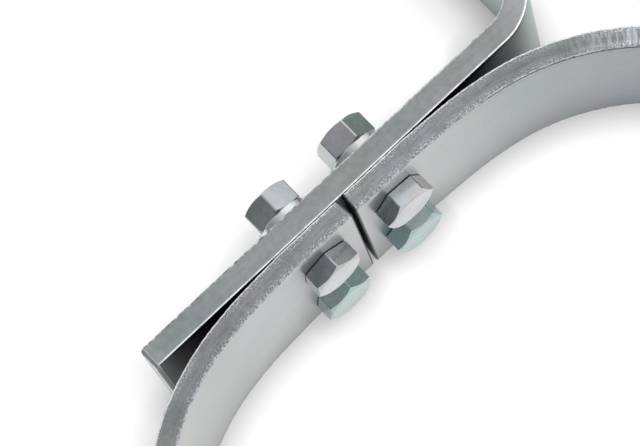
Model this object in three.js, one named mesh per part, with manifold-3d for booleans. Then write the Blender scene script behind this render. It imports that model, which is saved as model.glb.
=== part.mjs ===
// Pipe clamp: two half bands bolted to a cranked mounting bar and closed by two ear bolts.
// Millimetres, +Z up. The ring axis is vertical and every strip rests on its lower edge.
// Working frame: x along the bar, y from the ring towards the bar, y = 0 on the bar's seat.
import * as THREE from "three";
import { mergeVertices } from "three/addons/utils/BufferGeometryUtils.js";
import Module from "manifold-3d";

const wasm = await Module();
wasm.setup();

// Strip sizes
const WIDTH = 50;
const BAND_THICK = 5.5;
const BAR_THICK = 6;
const EDGE_BEVEL = 0.4;

// Ring: a round band, flat under the bolt heads, then leaving the bar in steps
const RING_OUTER_R = 115;
const FLAT_HALF = 19.5;
const LIFT_R = 30;
const LIFT_ANGLE = THREE.MathUtils.degToRad(3);
const EASE_START_X = 30;
const EASE_R = 125;
const EASE_ANGLE = THREE.MathUtils.degToRad(10);
const SHOULDER_R = 70;
const GAP_RIGHT_X = 0.7;
const GAP_LEFT_X = 1.1;

// Closing ears on the far side of the ring
const EAR_HALF_GAP = 5;
const EAR_BEND_R = 5;
const EAR_LENGTH = 30;
const EAR_BOLT_REACH = 17;
const EAR_CORNER_R = 8;

// Cranked bar
const BAR_END_X = -59.9;
const BEND_START_X = 55;
const BEND_INNER_R = 10;
const ARM_LENGTH = 90;
const ARM_CORNER_R = 8;
const ARM_HOLES_Y = [36, 70];
const ARM_HOLE_R = 5.5;

// M8 hardware
const SHANK_R = 3.975;
const CLEARANCE_R = 4.5;
const ACROSS_FLATS = 13;
const HEAD_HEIGHT = 5.3;
const NUT_HEIGHT = 6.8;
const NUT_BORE_R = 4.05;
const WASHER_OUTER_R = 8;
const WASHER_INNER_R = 4.2;
const WASHER_THICK = 1.6;
const SPRING_OUTER_R = 7.4;
const SPRING_INNER_R = 4.2;
const SPRING_THICK = 2;
const SPRING_SLIT = 1;
const SPRING_SLANT = THREE.MathUtils.degToRad(22);
const CHAMFER_CIRCLE = 0.95;
const SHANK_CHAMFER = 0.7;
const BORE_CHAMFER = 0.5;
const WASHER_CHAMFER = 0.3;
const JOINT_BOLT_LENGTH = 20;
const EAR_BOLT_LENGTH = 40;

// Bolt places and how far each hexagon is turned about its bolt
const BOLT_X = 12;
const ROW_Z = { upper: 35, lower: 10 };
const HEAD_TURN = { right_upper: -0.16, left_upper: -0.62, right_lower: -0.22, left_lower: -0.72 };
const NUT_TURN = { right_upper: 0.25, left_upper: -0.46, right_lower: -0.14, left_lower: -0.03 };
const EAR_HEAD_TURN = { upper: 0.2, lower: -0.35 };
const EAR_NUT_TURN = { upper: -0.15, lower: 0.45 };
const SLIT_TURN = THREE.MathUtils.degToRad(165);

// Curve and surface fineness
const FINE = 24;
const RING_STEPS = 48;
const ARC_STEPS = 8;
const LIFT_STEPS = 2;
const BOOLEAN_MARGIN = 1;

const zincBar = new THREE.MeshStandardMaterial({ color: 0xa9aeb0, metalness: 0.9, roughness: 0.42 });
const zincBand = new THREE.MeshStandardMaterial({ color: 0xb6babb, metalness: 0.9, roughness: 0.38 });
const zincHardware = new THREE.MeshStandardMaterial({ color: 0xc3c9cc, metalness: 1, roughness: 0.25 });

const clamp = new THREE.Group();
clamp.name = "pipe_clamp";

// ---- booleans ----

function toSolid(geometry) {
  const bare = geometry.clone();
  bare.deleteAttribute("normal");
  bare.deleteAttribute("uv");
  const welded = mergeVertices(bare, 1e-4);
  return new wasm.Manifold(
    new wasm.Mesh({
      numProp: 3,
      vertProperties: new Float32Array(welded.attributes.position.array),
      triVerts: new Uint32Array(welded.index.array),
    }),
  );
}

function fromSolid(solid) {
  const mesh = solid.getMesh();
  const indexed = new THREE.BufferGeometry();
  indexed.setAttribute("position", new THREE.BufferAttribute(mesh.vertProperties, 3));
  indexed.setIndex(new THREE.BufferAttribute(mesh.triVerts, 1));
  const flat = indexed.toNonIndexed();
  flat.computeVertexNormals();
  return flat;
}

function subtractAll(geometry, cutters) {
  const cut = cutters.reduce((body, cutter) => body.subtract(toSolid(cutter)), toSolid(geometry));
  return fromSolid(cut);
}

function unite(first, second) {
  return fromSolid(toSolid(first).add(toSolid(second)));
}

function intersect(first, second) {
  return fromSolid(toSolid(first).intersect(toSolid(second)));
}

// ---- strips bent in the plane ----

// A station is a point on the strip's reference face with the unit normal leaving that face.
function station(x, y, nx, ny) {
  return { x, y, nx, ny };
}

// Stations round a bend: side 1 puts the bend's centre behind the face, side -1 in front of it.
function arcStations(cx, cy, radius, from, to, steps, side = 1) {
  const stations = [];
  for (let i = 0; i <= steps; i += 1) {
    const a = from + ((to - from) * i) / steps;
    const nx = Math.sin(a);
    const ny = Math.cos(a);
    stations.push(station(cx + side * radius * nx, cy + side * radius * ny, nx, ny));
  }
  return stations;
}

function movedTowards(from, to, distance) {
  const length = Math.hypot(to.x - from.x, to.y - from.y);
  const share = distance / length;
  return { ...from, x: from.x + share * (to.x - from.x), y: from.y + share * (to.y - from.y) };
}

// Extrudes a strip over its width, with a small bevel round both long edges and both ends.
function stripGeometry(stations, thickness) {
  const b = EDGE_BEVEL;
  const last = stations.length - 1;
  const path = [...stations];
  path[0] = movedTowards(stations[0], stations[1], b);
  path[last] = movedTowards(stations[last], stations[last - 1], b);
  const face = (depth) => path.map((s) => new THREE.Vector2(s.x - depth * s.nx, s.y - depth * s.ny));
  const outline = [...face(b), ...face(thickness - b).reverse()];
  const geometry = new THREE.ExtrudeGeometry(new THREE.Shape(outline), {
    depth: WIDTH - 2 * b,
    bevelEnabled: true,
    bevelThickness: b,
    bevelSize: b,
    bevelSegments: 1,
  });
  return geometry.translate(0, 0, b);
}

// A round cutter running along x or y through a point.
function drill(radius, along, x, y, z, length) {
  const cutter = new THREE.CylinderGeometry(radius, radius, length, FINE);
  if (along === "x") cutter.rotateZ(Math.PI / 2);
  return cutter.translate(x, y, z);
}

// What lies outside the two rounded corners of a tip at y = tipY; side is +1 or -1 towards the strip.
function cornerCutters(tipY, side, radius, x) {
  const toYz = new THREE.Matrix4().makeBasis(
    new THREE.Vector3(0, 1, 0),
    new THREE.Vector3(0, 0, 1),
    new THREE.Vector3(1, 0, 0),
  );
  const length = 4 * radius;
  return [false, true].map((top) => {
    const corner = (u, v) => new THREE.Vector2(tipY + side * u, top ? WIDTH - v : v);
    const outline = [corner(-BOOLEAN_MARGIN, -BOOLEAN_MARGIN), corner(-BOOLEAN_MARGIN, radius)];
    for (let i = 0; i <= ARC_STEPS; i += 1) {
      const a = (Math.PI / 2) * (i / ARC_STEPS);
      outline.push(corner(radius * (1 - Math.cos(a)), radius * (1 - Math.sin(a))));
    }
    outline.push(corner(radius, -BOOLEAN_MARGIN));
    const cutter = new THREE.ExtrudeGeometry(new THREE.Shape(outline), { depth: length, bevelEnabled: false });
    return cutter.applyMatrix4(toYz).translate(x - length / 2, 0, 0);
  });
}

// ---- the half bands ----

// Arcs of the band's outer face; angles are measured from +y towards +x.
function pointOn(centre, radius, angle) {
  return { x: centre.x + radius * Math.sin(angle), y: centre.y + radius * Math.cos(angle) };
}

function centreFor(point, radius, angle) {
  return pointOn(point, -radius, angle);
}

const lift = centreFor({ x: FLAT_HALF, y: 0 }, LIFT_R, 0);
const liftEnd = pointOn(lift, LIFT_R, LIFT_ANGLE);
const easeStartY = liftEnd.y - (EASE_START_X - liftEnd.x) * Math.tan(LIFT_ANGLE);
const ease = centreFor({ x: EASE_START_X, y: easeStartY }, EASE_R, LIFT_ANGLE);
const shoulder = centreFor(pointOn(ease, EASE_R, EASE_ANGLE), SHOULDER_R, EASE_ANGLE);
const shoulderAngle = Math.asin(shoulder.x / (RING_OUTER_R - SHOULDER_R));
const ringY = shoulder.y - (RING_OUTER_R - SHOULDER_R) * Math.cos(shoulderAngle);
const earFace = EAR_HALF_GAP + BAND_THICK;
const earBend = { x: earFace + EAR_BEND_R, reach: RING_OUTER_R + EAR_BEND_R };
const earAngle = Math.PI - Math.asin(earBend.x / earBend.reach);
const earY = ringY + earBend.reach * Math.cos(earAngle);
const earTipY = earY - EAR_LENGTH;
const earBoltY = earY - EAR_BOLT_REACH;

function bandStations(startX) {
  return [
    station(startX, 0, 0, 1),
    ...arcStations(lift.x, lift.y, LIFT_R, 0, LIFT_ANGLE, LIFT_STEPS),
    ...arcStations(ease.x, ease.y, EASE_R, LIFT_ANGLE, EASE_ANGLE, ARC_STEPS),
    ...arcStations(shoulder.x, shoulder.y, SHOULDER_R, EASE_ANGLE, shoulderAngle, ARC_STEPS).slice(1),
    ...arcStations(0, ringY, RING_OUTER_R, shoulderAngle, earAngle, RING_STEPS).slice(1),
    ...arcStations(earBend.x, earY, EAR_BEND_R, earAngle, Math.PI / 2, ARC_STEPS, -1).slice(1),
    station(earFace, earTipY, 1, 0),
  ];
}

function halfBand(side, startX) {
  const stations = bandStations(startX).map((s) => ({ ...s, x: side * s.x, nx: side * s.nx }));
  const cutters = cornerCutters(earTipY, 1, EAR_CORNER_R, side * earFace);
  for (const z of Object.values(ROW_Z)) {
    cutters.push(drill(CLEARANCE_R, "y", side * BOLT_X, 0, z, 4 * BAND_THICK));
    cutters.push(drill(CLEARANCE_R, "x", side * earFace, earBoltY, z, 3 * BAND_THICK));
  }
  return subtractAll(stripGeometry(stations, BAND_THICK), cutters);
}

// ---- the cranked bar ----

function mountingBar() {
  const outerR = BEND_INNER_R + BAR_THICK;
  const armFace = BEND_START_X + outerR;
  const stations = [
    station(BAR_END_X, 0, 0, -1),
    ...arcStations(BEND_START_X, outerR, outerR, Math.PI, Math.PI / 2, ARC_STEPS),
    station(armFace, ARM_LENGTH, 1, 0),
  ];
  const cutters = cornerCutters(ARM_LENGTH, -1, ARM_CORNER_R, armFace);
  for (const z of Object.values(ROW_Z)) {
    cutters.push(drill(CLEARANCE_R, "y", BOLT_X, 0, z, 4 * BAR_THICK));
    cutters.push(drill(CLEARANCE_R, "y", -BOLT_X, 0, z, 4 * BAR_THICK));
  }
  for (const y of ARM_HOLES_Y) {
    cutters.push(drill(ARM_HOLE_R, "x", armFace, y, WIDTH / 2, 4 * BAR_THICK));
  }
  return subtractAll(stripGeometry(stations, BAR_THICK), cutters);
}

// ---- M8 hardware, built along +y ----

const cornerR = ACROSS_FLATS / Math.sqrt(3);
const chamferR = (CHAMFER_CIRCLE * ACROSS_FLATS) / 2;
const hexReach = cornerR + BOOLEAN_MARGIN;
const hexDrop = (hexReach - chamferR) * Math.tan(Math.PI / 6);

function lathe(profile) {
  return new THREE.LatheGeometry(
    profile.map(([r, y]) => new THREE.Vector2(r, y)),
    FINE,
  );
}

// A six-sided prism from y = low up, with two corners on the x axis.
function hexPrism(low, height) {
  const prism = new THREE.CylinderGeometry(cornerR, cornerR, height, 6, 1, false, Math.PI / 6);
  return prism.translate(0, low + height / 2, 0);
}

// Bearing face of the head at y = 0, shank towards +y.
function boltGeometry(length) {
  const top = -HEAD_HEIGHT;
  const headTurning = lathe([
    [0, top],
    [chamferR, top],
    [hexReach, top + hexDrop],
    [hexReach, 0],
    [0, 0],
  ]);
  const shank = lathe([
    [0, -BOOLEAN_MARGIN],
    [SHANK_R, -BOOLEAN_MARGIN],
    [SHANK_R, length - SHANK_CHAMFER],
    [SHANK_R - SHANK_CHAMFER, length],
    [0, length],
  ]);
  return unite(intersect(hexPrism(top, HEAD_HEIGHT), headTurning), shank);
}

function nutGeometry() {
  const turning = lathe([
    [NUT_BORE_R + BORE_CHAMFER, 0],
    [chamferR, 0],
    [hexReach, hexDrop],
    [hexReach, NUT_HEIGHT - hexDrop],
    [chamferR, NUT_HEIGHT],
    [NUT_BORE_R + BORE_CHAMFER, NUT_HEIGHT],
    [NUT_BORE_R, NUT_HEIGHT - BORE_CHAMFER],
    [NUT_BORE_R, BORE_CHAMFER],
    [NUT_BORE_R + BORE_CHAMFER, 0],
  ]);
  return intersect(hexPrism(0, NUT_HEIGHT), turning);
}

function washerGeometry() {
  return lathe([
    [WASHER_INNER_R, 0],
    [WASHER_OUTER_R, 0],
    [WASHER_OUTER_R, WASHER_THICK - WASHER_CHAMFER],
    [WASHER_OUTER_R - WASHER_CHAMFER, WASHER_THICK],
    [WASHER_INNER_R, WASHER_THICK],
    [WASHER_INNER_R, 0],
  ]);
}

// A split lock washer, drawn pressed flat, with a slanted slit.
function springWasherGeometry() {
  const ring = lathe([
    [SPRING_INNER_R, 0],
    [SPRING_OUTER_R, 0],
    [SPRING_OUTER_R, SPRING_THICK],
    [SPRING_INNER_R, SPRING_THICK],
    [SPRING_INNER_R, 0],
  ]);
  const slit = new THREE.BoxGeometry(SPRING_SLIT, 4 * SPRING_THICK, SPRING_OUTER_R);
  slit.rotateZ(SPRING_SLANT);
  slit.translate(0, SPRING_THICK / 2, SPRING_OUTER_R - BOOLEAN_MARGIN);
  return subtractAll(ring, [slit]);
}

// ---- assembly ----

function add(name, geometry, material) {
  const mesh = new THREE.Mesh(geometry, material);
  mesh.name = name;
  clamp.add(mesh);
}

// Turns a piece about its own axis, lays that axis along x or y and moves it into place.
function placed(geometry, along, turn, x, y, z) {
  geometry.rotateY(-turn);
  if (along === "x") geometry.rotateZ(-Math.PI / 2);
  return geometry.translate(x, y, z);
}

add("mounting_bar", mountingBar(), zincBar);
add("band_right", halfBand(1, GAP_RIGHT_X), zincBand);
add("band_left", halfBand(-1, GAP_LEFT_X), zincBand);

const sides = { right: BOLT_X, left: -BOLT_X };
for (const [side, x] of Object.entries(sides)) {
  for (const [row, z] of Object.entries(ROW_Z)) {
    const spot = `${side}_${row}`;
    const put = (geometry, turn, y) => placed(geometry, "y", turn, x, y, z);
    const springY = BAR_THICK + WASHER_THICK;
    const nutY = springY + SPRING_THICK;
    const slitTurn = NUT_TURN[spot] + SLIT_TURN;
    add(`joint_bolt_${spot}`, put(boltGeometry(JOINT_BOLT_LENGTH), HEAD_TURN[spot], -BAND_THICK), zincHardware);
    add(`joint_washer_${spot}`, put(washerGeometry(), 0, BAR_THICK), zincHardware);
    add(`joint_spring_washer_${spot}`, put(springWasherGeometry(), slitTurn, springY), zincHardware);
    add(`joint_nut_${spot}`, put(nutGeometry(), NUT_TURN[spot], nutY), zincHardware);
  }
}

for (const [row, z] of Object.entries(ROW_Z)) {
  const put = (geometry, turn, x) => placed(geometry, "x", turn, x, earBoltY, z);
  const washerX = earFace;
  const springX = washerX + WASHER_THICK;
  const nutX = springX + SPRING_THICK;
  const headX = -earFace - WASHER_THICK;
  const slitTurn = EAR_NUT_TURN[row] + SLIT_TURN;
  add(`ear_bolt_${row}`, put(boltGeometry(EAR_BOLT_LENGTH), EAR_HEAD_TURN[row], headX), zincHardware);
  add(`ear_head_washer_${row}`, put(washerGeometry(), 0, headX), zincHardware);
  add(`ear_nut_washer_${row}`, put(washerGeometry(), 0, washerX), zincHardware);
  add(`ear_spring_washer_${row}`, put(springWasherGeometry(), slitTurn, springX), zincHardware);
  add(`ear_nut_${row}`, put(nutGeometry(), EAR_NUT_TURN[row], nutX), zincHardware);
}

// The origin is the middle of the clamp's footprint.
clamp.position.y = -(ARM_LENGTH + earTipY) / 2;

export default clamp;
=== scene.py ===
"""Pipe clamp with a cranked mounting bar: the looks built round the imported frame."""

import math

import bmesh
import bpy
from mathutils import Matrix, Vector, noise


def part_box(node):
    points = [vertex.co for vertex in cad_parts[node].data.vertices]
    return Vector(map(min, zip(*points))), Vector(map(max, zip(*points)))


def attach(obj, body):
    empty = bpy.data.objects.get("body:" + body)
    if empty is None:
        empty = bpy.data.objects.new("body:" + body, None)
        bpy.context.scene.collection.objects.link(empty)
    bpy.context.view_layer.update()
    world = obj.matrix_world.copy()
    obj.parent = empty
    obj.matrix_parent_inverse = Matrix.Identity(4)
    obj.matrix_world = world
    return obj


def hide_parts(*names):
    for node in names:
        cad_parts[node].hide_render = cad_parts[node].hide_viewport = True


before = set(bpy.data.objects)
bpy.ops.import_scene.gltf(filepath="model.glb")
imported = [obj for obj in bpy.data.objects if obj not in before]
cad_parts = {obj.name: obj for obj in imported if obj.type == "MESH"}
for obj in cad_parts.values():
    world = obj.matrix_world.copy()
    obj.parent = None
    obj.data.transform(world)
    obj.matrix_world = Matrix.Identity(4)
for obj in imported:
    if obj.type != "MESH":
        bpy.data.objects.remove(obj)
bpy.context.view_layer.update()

MM = 0.001
TAU = 2 * math.pi
WHITE = (1.0, 1.0, 1.0)

# ---- sizes of the strips, in millimetres and radians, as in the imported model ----
WIDTH = 50.0
BAND_THICK = 5.5
BAR_THICK = 6.0
RING_OUTER_R = 115.0
FLAT_HALF = 19.5
LIFT_R = 30.0
LIFT_ANGLE = math.radians(3)
EASE_START_X = 30.0
EASE_R = 125.0
EASE_ANGLE = math.radians(10)
SHOULDER_R = 70.0
EAR_HALF_GAP = 5.0
EAR_BEND_R = 5.0
EAR_LENGTH = 30.0
TIP_R = 8.0
BEND_START_X = 55.0
BEND_INNER_R = 10.0
ARM_LENGTH = 90.0
ARM_HOLES_Y = (36.0, 70.0)
ARM_HOLE_R = 5.5
CLEARANCE_R = 4.5
BOLT_ROW_Z = {"upper": 35.0, "lower": 10.0}
BOLT_SIDE_X = {"right": 12.0, "left": -12.0}

# ---- finer detail of the strips, only in this model: millimetres, numbers of steps and noise seeds ----
STATION_STEP = 0.8
TIP_STEPS = 24
END_STEPS = 4
END_CLEAR = 0.05
STEPS_ACROSS = 14
STEPS_THROUGH = 8
RIM_R = 0.45
RIM_WEAR = 0.3
WEAR_WIDTH = 1.2
BAR_SEED = 3.0
BAND_SEEDS = {"right": 12.0, "left": 10.0}
BAR_END_RIM = 1.35
BAND_END_RIM = 0.5
END_LEAN = 0.4
LEAN_REACH = 5.0
BORE_FLARE = 0.35
STRIP_SHARP_DEG = 38.0

# ---- M8 hardware, in millimetres. A washer is its inner radius, outer radius and thickness ----
ACROSS_FLATS = 13.0
HEAD_HEIGHT = 5.3
NUT_HEIGHT = 6.8
NUT_BORE_R = 4.05
SHANK_R = 3.95
THREAD_PITCH = 1.25
THREAD_DEPTH = 0.7
THREAD_FADE = 1.2
THREAD_ROW = 0.156
JOINT_THREAD_START = 8.0
EAR_THREAD_START = 18.0
TIP_CHAMFER = 0.9
HEAD_LIP = 0.12
HEAD_UNDER = 0.25
NUT_COUNTERSINK = 0.5
HAIR = 0.02
WASHER = (4.2, 8.0, 1.6)
SPRING = (4.2, 7.4, 2.0)
SPRING_CORNER = 0.22
RING_STEPS = 72
WASHER_SHARP_DEG = 40.0
JOINT_BOLT_LENGTH = 20.0
EAR_BOLT_LENGTH = 40.0

# ---- how the hexagons and the spring washers' slits are turned, in radians ----
HEAD_TURN = {"right_upper": -0.16, "left_upper": -0.62, "right_lower": -0.22, "left_lower": -0.72}
NUT_TURN = {"right_upper": 0.25, "left_upper": -0.46, "right_lower": -0.14, "left_lower": -0.03}
EAR_HEAD_TURN = {"upper": 0.2, "lower": -0.35}
EAR_NUT_TURN = {"upper": -0.15, "lower": 0.45}
SLIT_TURN = math.radians(165)
SLIT_HALF = 0.085
SLIT_SLANT = 0.14

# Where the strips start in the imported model, in millimetres. The bar's seat on the bands is y = 0 below.
SEAT_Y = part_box("mounting_bar")[0].y / MM
BAR_END_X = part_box("mounting_bar")[0].x / MM
GAP_RIGHT_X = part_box("band_right")[0].x / MM
GAP_LEFT_X = -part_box("band_left")[1].x / MM


# ======================= materials =======================


def fill_ramp(node, stops):
    """Sets the stops of a colour ramp from (position, colour) pairs."""
    elements = node.color_ramp.elements
    elements[0].position, elements[0].color = stops[0][0], (*stops[0][1], 1)
    elements[1].position, elements[1].color = stops[-1][0], (*stops[-1][1], 1)
    for position, colour in stops[1:-1]:
        elements.new(position).color = (*colour, 1)


def scaled(colour, factor):
    return tuple(factor * part for part in colour)


class Nodes:
    """A small helper that adds and links shader nodes."""

    def __init__(self, name):
        self.material = bpy.data.materials.new(name)
        self.material.use_nodes = True
        self.tree = self.material.node_tree
        self.tree.nodes.clear()
        self.output = self.tree.nodes.new("ShaderNodeOutputMaterial")
        self.shader = self.tree.nodes.new("ShaderNodeBsdfPrincipled")
        self.link(self.shader.outputs["BSDF"], self.output.inputs["Surface"])
        self.coords = self.tree.nodes.new("ShaderNodeTexCoord")

    def link(self, source, target):
        self.tree.links.new(source, target)

    def put(self, socket, value):
        if hasattr(value, "is_linked"):
            self.link(value, socket)
        else:
            socket.default_value = value

    def mapped(self, kind, scale):
        node = self.tree.nodes.new("ShaderNodeMapping")
        node.inputs["Scale"].default_value = scale
        self.link(self.coords.outputs[kind], node.inputs["Vector"])
        return node.outputs["Vector"]

    def axis(self, name, kind="Object"):
        """One axis of the place on the piece, in metres of the row frame at rest, or of its UV map."""
        node = self.tree.nodes.new("ShaderNodeSeparateXYZ")
        self.link(self.coords.outputs[kind], node.inputs[0])
        return node.outputs[name]

    def noise(self, vector, scale, detail=3.0, roughness=0.55, distortion=0.0):
        node = self.tree.nodes.new("ShaderNodeTexNoise")
        self.link(vector, node.inputs["Vector"])
        node.inputs["Scale"].default_value = scale
        node.inputs["Detail"].default_value = detail
        node.inputs["Roughness"].default_value = roughness
        node.inputs["Distortion"].default_value = distortion
        return node.outputs["Fac"]

    def remap(self, value, low, high, to_low, to_high):
        node = self.tree.nodes.new("ShaderNodeMapRange")
        self.put(node.inputs["Value"], value)
        node.inputs["From Min"].default_value = low
        node.inputs["From Max"].default_value = high
        node.inputs["To Min"].default_value = to_low
        node.inputs["To Max"].default_value = to_high
        return node.outputs["Result"]

    def ramp(self, value, stops):
        node = self.tree.nodes.new("ShaderNodeValToRGB")
        self.link(value, node.inputs["Fac"])
        fill_ramp(node, stops)
        return node.outputs["Color"]

    def mix(self, share, first, second, blend="MIX"):
        node = self.tree.nodes.new("ShaderNodeMix")
        node.data_type = "RGBA"
        node.blend_type = blend
        self.put(node.inputs[0], share)
        self.put(node.inputs[6], first if hasattr(first, "is_linked") else (*first, 1))
        self.put(node.inputs[7], second if hasattr(second, "is_linked") else (*second, 1))
        return node.outputs[2]

    def maths(self, operation, first, second=0.0):
        node = self.tree.nodes.new("ShaderNodeMath")
        node.operation = operation
        self.put(node.inputs[0], first)
        self.put(node.inputs[1], second)
        return node.outputs[0]

    def times(self, first, second):
        return self.maths("MULTIPLY", first, second)

    def share(self, value, low, high):
        """Where a value lies between two others, from 0 to 1."""
        return self.remap(value, low, high, 0.0, 1.0)

    def x_share(self, low, high):
        return self.share(self.axis("X"), low, high)

    def spread(self, value, to_low, to_high):
        """The part of a noise that matters, stretched to a range."""
        return self.remap(value, 0.3, 0.7, to_low, to_high)

    def from_seat(self, low, high, to_low, to_high):
        """The distance outwards from the bar's seat, in millimetres, mapped to a range."""
        return self.remap(self.axis("Y"), (SEAT_Y + low) * MM, (SEAT_Y + high) * MM, to_low, to_high)

    def openness(self, reach, direction):
        """How open the surroundings are within a reach, looking mostly one way."""
        node = self.tree.nodes.new("ShaderNodeAmbientOcclusion")
        node.samples = OPENNESS_SAMPLES
        node.inputs["Distance"].default_value = reach
        way = self.tree.nodes.new("ShaderNodeCombineXYZ")
        for channel, part in zip("XYZ", direction):
            way.inputs[channel].default_value = part
        self.link(way.outputs[0], node.inputs["Normal"])
        return node.outputs["AO"]

    def grey(self, value):
        """A number from the tree as a colour."""
        node = self.tree.nodes.new("ShaderNodeCombineColor")
        for channel in ("Red", "Green", "Blue"):
            self.put(node.inputs[channel], value)
        return node.outputs["Color"]

    def toned(self, colour, value):
        """The colour multiplied by a plain number from the tree."""
        return self.tinted(colour, self.grey(value))

    def tinted(self, colour, tint):
        return self.mix(1.0, colour, tint, "MULTIPLY")

    def bump(self, height, strength, distance, under=None):
        node = self.tree.nodes.new("ShaderNodeBump")
        node.inputs["Strength"].default_value = strength
        node.inputs["Distance"].default_value = distance
        self.link(height, node.inputs["Height"])
        if under is not None:
            self.link(under, node.inputs["Normal"])
        return node.outputs["Normal"]

    def finish(self, colour, roughness, normal, metallic=1.0):
        self.put(self.shader.inputs["Base Color"], colour)
        self.put(self.shader.inputs["Roughness"], roughness)
        self.put(self.shader.inputs["Metallic"], metallic)
        self.link(normal, self.shader.inputs["Normal"])
        return self.material


def rolled_zinc(name, dark, light, tint_a, tint_b, rough, cloud_scale=28.0, shading=None):
    """The smooth face of zinc plated strip: soft clouds, faint rolling lines and a fine grain."""
    n = Nodes(name)
    place = n.coords.outputs["Object"]
    along = n.mapped("UV", (60.0, 900.0, 1.0))
    clouds = n.noise(place, cloud_scale, 3.0, 0.5)
    tints = n.noise(place, cloud_scale * 0.7 + 7.0, 2.0, 0.4, 0.6)
    grain = n.noise(place, 1900.0, 3.0, 0.6)
    rolling = n.noise(along, 1.0, 2.0, 0.5)
    specks = n.noise(place, 420.0, 2.0, 0.5)
    base = n.ramp(clouds, [(0.32, dark), (0.68, light)])
    tint = n.ramp(tints, [(0.35, tint_a), (0.5, WHITE), (0.66, tint_b)])
    colour = n.tinted(base, tint)
    colour = n.toned(colour, n.spread(rolling, 0.96, 1.04))
    spots = n.remap(specks, 0.68, 0.76, 0.0, 0.2)
    colour = n.mix(spots, colour, scaled(dark, 0.6))
    if shading:
        colour = shading(n, colour)
    roughness = n.remap(n.maths("ADD", grain, clouds), 0.6, 1.4, rough - 0.06, rough + 0.09)
    normal = n.bump(rolling, 0.12, 0.00004)
    normal = n.bump(specks, 0.12, 0.00008, normal)
    normal = n.bump(grain, 0.22, 0.00002, normal)
    return n.finish(colour, roughness, normal)


def bar_shading(n, colour):
    """Painted shade on the bar's inner face in the wedge against the bands, and a green cast on the bend and
    the arm.
    """
    depth = n.from_seat(2, 14, 0.0, 1.0)
    wedge = n.ramp(n.x_share(-0.06, 0.075), BAR_WEDGE_SHADE)
    cast = n.ramp(n.x_share(0.05, 0.062), [(0.0, WHITE), (1.0, (0.7, 0.88, 0.81))])
    # Painted shade: the inner face near the seat takes the darker tone.
    colour = n.mix(depth, n.tinted(colour, wedge), colour)
    near_bend = n.from_seat(32, 60, 1.0, 0.25)
    return n.mix(near_bend, colour, n.tinted(colour, cast))


def bar_edge_shading(n, colour):
    """Fine mottling on the bar's cut edges, with painted light that makes them lighter towards the left end
    and up the arm.
    """
    spots = n.noise(n.coords.outputs["Object"], 520.0, 3.0, 0.6)
    colour = n.toned(colour, n.spread(spots, 0.9, 1.1))
    colour = n.toned(colour, n.remap(n.axis("X"), -0.06, -0.02, 1.25, 1.0))
    return n.toned(colour, n.remap(n.axis("X"), 0.053, 0.064, 1.0, 1.4))


def band_shading(n, colour):
    """Mottled under the upper edge; painted shade along the lower edge, under the inner rim by the joint,
    against the bar and towards the right.
    """
    height = n.axis("Z")
    flecks = n.noise(n.coords.outputs["Object"], 1100.0, 3.0, 0.6)
    upper = n.times(n.share(height, 0.0472, 0.0494), n.remap(flecks, 0.38, 0.62, 0.0, 0.75))
    colour = n.mix(upper, colour, (0.6, 0.63, 0.66))
    # Painted shade along the foot of the band.
    colour = n.toned(colour, n.remap(height, 0.0002, 0.0016, 0.78, 1.0))
    # Painted shadow under the inner rim, by the joint.
    under_rim_shadow = n.times(n.share(height, 0.0491, 0.0494), n.x_share(0.034, 0.046))
    colour = n.toned(colour, n.remap(under_rim_shadow, 0.0, 1.0, 1.0, 0.45))
    colour = n.mix(n.x_share(0.025, 0.05), colour, n.tinted(colour, (0.95, 0.985, 1.03)))
    # Painted shade that dims the face towards the right.
    colour = n.toned(colour, n.remap(n.axis("X"), 0.02, 0.115, 0.97, 0.38))
    # Painted shade on the outer face in the seam against the bar.
    return n.toned(colour, n.from_seat(-3.2, -2.6, 1.0, 0.2))


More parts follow.
